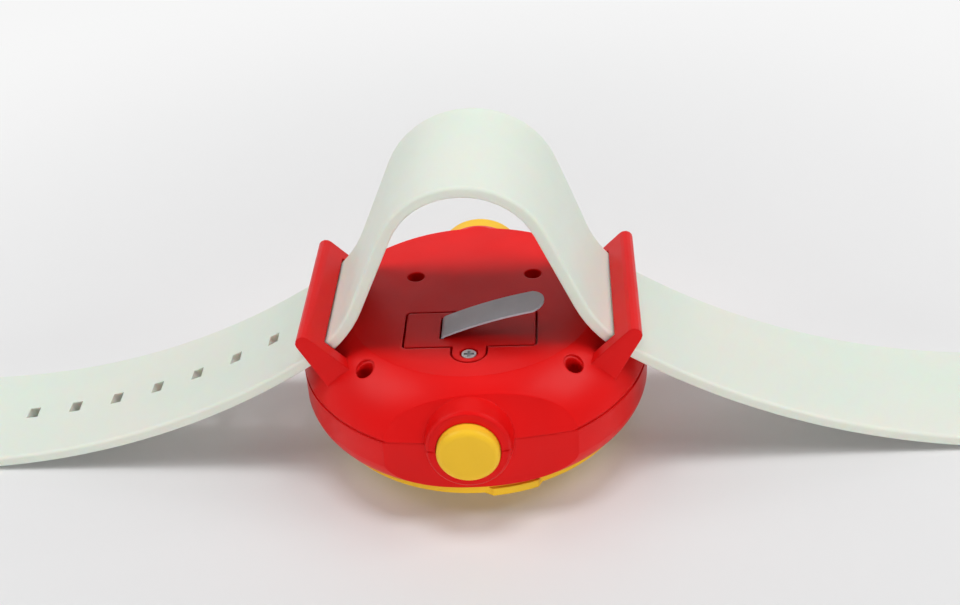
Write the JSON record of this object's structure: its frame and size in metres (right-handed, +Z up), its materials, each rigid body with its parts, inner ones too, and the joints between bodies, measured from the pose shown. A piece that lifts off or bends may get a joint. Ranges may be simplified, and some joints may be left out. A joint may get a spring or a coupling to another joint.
{
  "type": "toy watch",
  "caption": "Toy projector wristwatch with a round two-shell case, side push button, side lens barrel, turning front bezel, screwed battery door and one pass-through strap with a pin buckle.",
  "frame": {"origin": "centre of the front window's outer face, on the case axis, on the surface that the watch lies on face down", "axes": "+Z up from the front window to the back of the case, +X along the strap towards the buckle, +Y from the push button to the lens barrel"},
  "size_m": [0.2007, 0.0533, 0.047],
  "materials": {
    "red_plastic": "satin moulded plastic",
    "yellow_plastic": "satin moulded plastic",
    "dark_plastic": "matte",
    "film": "thin picture film",
    "clear_plastic": "clear",
    "dial": "printed card",
    "board": "solder mask",
    "led_epoxy": "clear epoxy",
    "pale_plastic": "matte",
    "steel": "nickel plated",
    "polished_steel": "polished",
    "spring_brass": "sprung strip",
    "grey_film": "frosted film",
    "strap_rubber": "soft matte"
  },
  "bodies": {
    "case": {"back_shell": "red_plastic", "front_shell": "red_plastic", "front_window": "clear_plastic", "dial_plate": "dial", "dial_carrier": "dark_plastic", "tact_switch": "dark_plastic", "switch_board": "board", "lens_barrel": "yellow_plastic", "projection_lens": "clear_plastic", "led": "led_epoxy", "led_holder": "pale_plastic", "circuit_board": "board", "button_cells": "steel", "spring_contact": "spring_brass", "plate_contact": "spring_brass", "case_screws": "steel", "carrier_screws": "steel", "strap": "strap_rubber", "buckle_pin": "steel"},
    "bezel": {"bezel_ring": "yellow_plastic", "film_drum": "dark_plastic", "film_band": "film"},
    "button": {"push_button": "yellow_plastic", "switch_plunger": "dark_plastic"},
    "door": {"battery_door": "red_plastic", "door_screw": "steel"},
    "tab": {"pull_tab": "grey_film"},
    "buckle": {"buckle_frame": "polished_steel"},
    "tongue": {"buckle_tongue": "polished_steel"}
  },
  "joints": [
    {"name": "button_press", "type": "slide", "parent": "case", "child": "button", "axis": [0, 1, 0], "range_m": [0, 0.001], "stiffness_N_per_m": 300, "springref_m": -0.001},
    {"name": "bezel_turn", "type": "hinge", "parent": "case", "child": "bezel", "pos_m": [0, 0, 0.005], "axis": [0, 0, 1], "continuous": true},
    {"name": "door_lift", "type": "slide", "parent": "case", "child": "door", "axis": [0, 0, 1], "range_m": [0, 0.005]},
    {"name": "tab_pull", "type": "slide", "parent": "door", "child": "tab", "axis": [0, 0, 1], "range_m": [0, 0.0035]},
    {"name": "buckle_swing", "type": "hinge", "parent": "case", "child": "buckle", "pos_m": [0.0921, 0, 0.0021], "axis": [0, -1, 0], "range_deg": [0, 100]},
    {"name": "tongue_swing", "type": "hinge", "parent": "buckle", "child": "tongue", "pos_m": [0.0921, 0, 0.0021], "axis": [0, 1, 0], "range_deg": [0, 100]}
  ]
}
